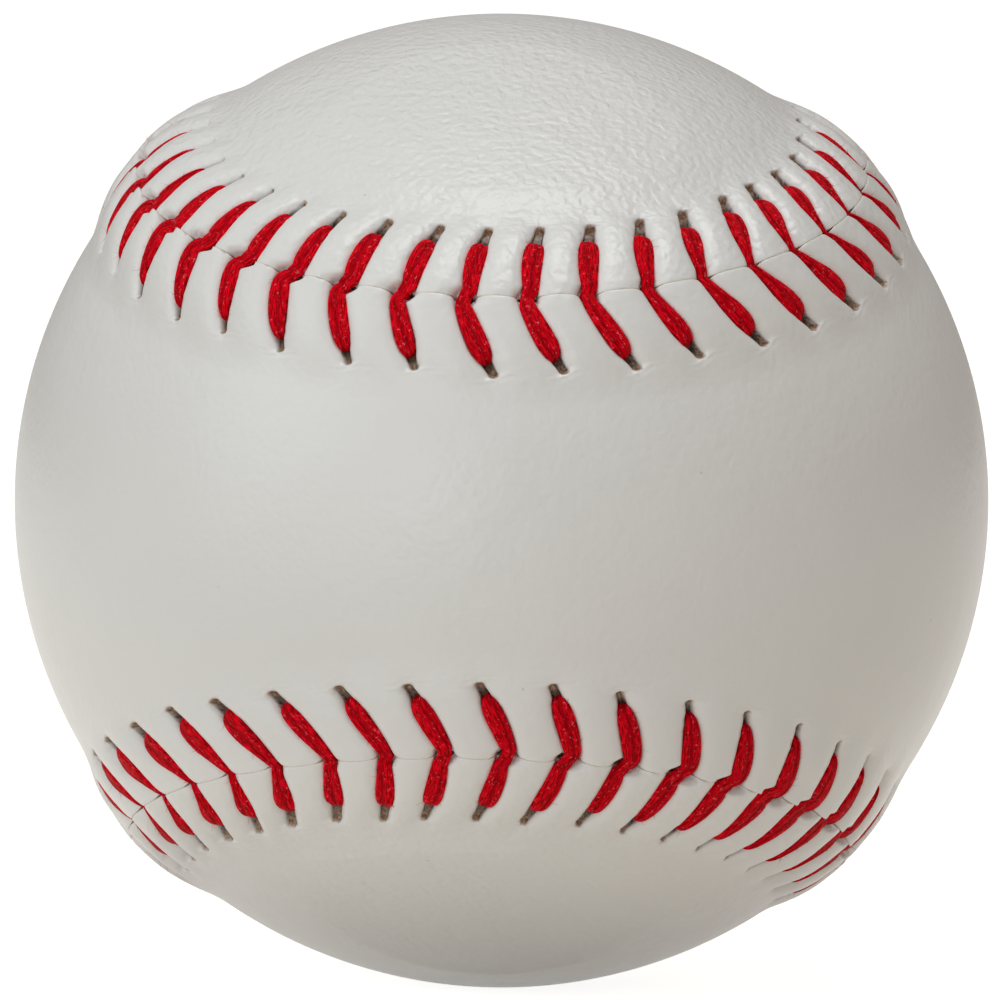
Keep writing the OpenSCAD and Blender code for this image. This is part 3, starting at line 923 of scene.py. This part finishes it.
floor_half = FLOOR_SIZE / MM / 2
floor = mesh_object(
    "floor",
    [(x * floor_half, y * floor_half, -BALL_R) for x, y in ((-1, -1), (1, -1), (1, 1), (-1, 1))],
    [np.array([[0, 1, 2, 3]])],
    smooth_faces=False,
)
floor.data.materials.append(floor_material())

world = bpy.data.worlds.new("room")
world.use_nodes = True
background = world.node_tree.nodes["Background"]
background.inputs["Color"].default_value = (*ROOM_COLOR, 1)
background.inputs["Strength"].default_value = ROOM_STRENGTH
bpy.context.scene.world = world


def lamp(name, toward, distance, size, power, color):
    """A square soft lamp that shines on the ball from the direction toward."""
    data = bpy.data.lights.new(name, "AREA")
    data.shape = "SQUARE"
    data.size = size
    data.energy = power
    data.color = color
    obj = bpy.data.objects.new(name, data)
    obj.location = Vector(toward).normalized() * distance
    obj.rotation_euler = obj.location.to_track_quat("Z", "Y").to_euler()
    bpy.context.scene.collection.objects.link(obj)


lamp("key_left", toward=(-0.85, -0.6, 0.3), distance=1.4, size=0.9, power=4.7,
     color=(0.87, 0.97, 1.0))
lamp("top", toward=(0.05, -0.25, 1.0), distance=1.2, size=0.6, power=6.7,
     color=(0.96, 1.0, 1.0))
lamp("low_front", toward=(-0.3, -1.0, 0.12), distance=1.3, size=0.3, power=1.9,
     color=(0.87, 0.92, 1.0))

# The camera: the ball's place and size in the photograph, in pixels

BALL_RADIUS_PX = 487.0
BALL_CENTRE_PX = (501.5, 500.5)
IMAGE_PX = 1000.0
CAMERA_BALL_RADII = 27
CAMERA_DISTANCE = CAMERA_BALL_RADII * BALL_R * MM
CAMERA_AZIMUTH = math.radians(1.49)
CAMERA_ELEVATION = math.radians(3.46)
CAMERA_ROLL = math.radians(1.05)
SENSOR_MM = 36.0
CLIP_END = 200

camera_data = bpy.data.cameras.new("camera")
camera = bpy.data.objects.new("camera", camera_data)
bpy.context.scene.collection.objects.link(camera)
bpy.context.scene.camera = camera
toward_camera = Vector((
    math.sin(CAMERA_AZIMUTH) * math.cos(CAMERA_ELEVATION),
    -math.cos(CAMERA_AZIMUTH) * math.cos(CAMERA_ELEVATION),
    math.sin(CAMERA_ELEVATION),
))
facing = toward_camera.to_track_quat("Z", "Y").to_matrix() @ Matrix.Rotation(CAMERA_ROLL, 3, "Z")
camera.matrix_world = Matrix.Translation(toward_camera * CAMERA_DISTANCE) @ facing.to_4x4()
camera_data.sensor_width = SENSOR_MM
focal_px = BALL_RADIUS_PX * math.sqrt((CAMERA_DISTANCE / (BALL_R * MM)) ** 2 - 1)
camera_data.lens = focal_px / IMAGE_PX * camera_data.sensor_width
camera_data.shift_x = (IMAGE_PX / 2 - BALL_CENTRE_PX[0]) / IMAGE_PX
camera_data.shift_y = (BALL_CENTRE_PX[1] - IMAGE_PX / 2) / IMAGE_PX
camera_data.clip_end = CLIP_END

bpy.context.scene.view_settings.view_transform = "Standard"
